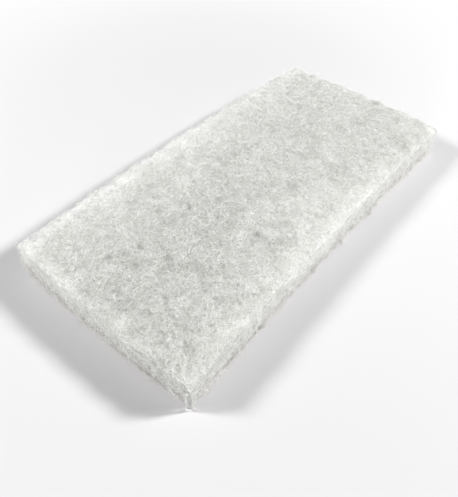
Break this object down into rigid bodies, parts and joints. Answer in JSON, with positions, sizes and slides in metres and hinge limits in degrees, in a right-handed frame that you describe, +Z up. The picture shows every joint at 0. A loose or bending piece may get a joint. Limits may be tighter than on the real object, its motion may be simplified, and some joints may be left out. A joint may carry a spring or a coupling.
{
  "type": "cleaning pad",
  "caption": "Rectangular hand cleaning pad: one thick slab of open, springy white fibre web with soft ragged edges, held in the hand or on a pad holder to scrub surfaces.",
  "frame": {"origin": "centre of the flat face that the pad rests on", "axes": "+Z up through the thickness, +X along the length, +Y across the width"},
  "size_m": [0.2494, 0.1228, 0.022],
  "materials": {
    "fibre_web": "matte"
  },
  "bodies": {
    "root": {"fibre_pad": "fibre_web"}
  },
  "joints": []
}
